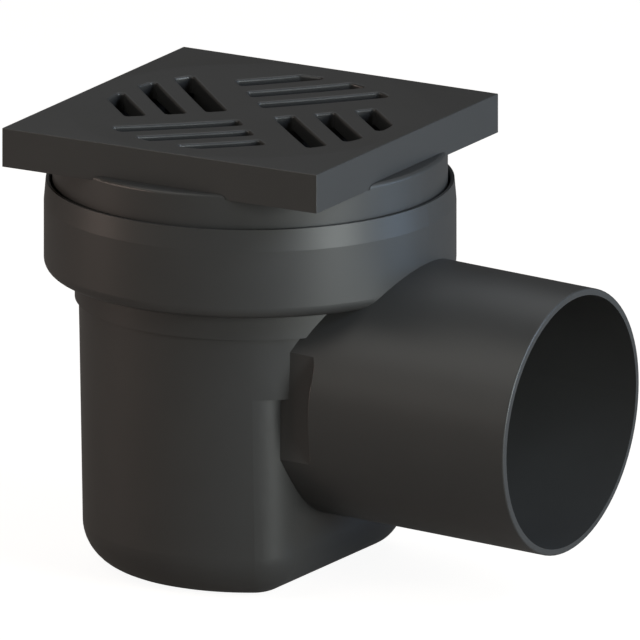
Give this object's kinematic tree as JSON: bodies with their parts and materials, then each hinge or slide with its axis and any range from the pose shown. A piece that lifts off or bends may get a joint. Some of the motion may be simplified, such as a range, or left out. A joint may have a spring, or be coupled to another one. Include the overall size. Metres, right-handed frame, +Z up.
{
  "type": "basement floor drain",
  "caption": "Trapped basement floor drain: square slotted grate on a height-adjustable riser, bell-mouthed pot and a sloping side outlet.",
  "frame": {"origin": "centre of the pot's underside, on the axis of the pot, bell, riser and grate", "axes": "+Z up along the pot's axis, +X out along the outlet seen from above, +Y to the left of the outlet"},
  "size_m": [0.2358, 0.167, 0.1879],
  "materials": {
    "drain_plastic": "satin moulded polypropylene",
    "grate_plastic": "fine-grained moulded plastic",
    "insert_plastic": "satin moulded polypropylene",
    "seal_rubber": "smooth black rubber"
  },
  "bodies": {
    "root": {"body": "drain_plastic", "trap_tube": "insert_plastic", "trap_seal": "seal_rubber"},
    "seal_ring": {"riser_seal": "seal_rubber"},
    "riser": {"riser": "drain_plastic", "grate": "grate_plastic"}
  },
  "joints": [
    {"name": "height_adjust", "type": "slide", "parent": "root", "child": "seal_ring", "axis": [0, 0, 1], "range_m": [-0.011, 0.014]},
    {"name": "grate_turn", "type": "hinge", "parent": "seal_ring", "child": "riser", "pos_m": [0, 0, 0.155], "axis": [0, 0, 1], "continuous": true}
  ]
}
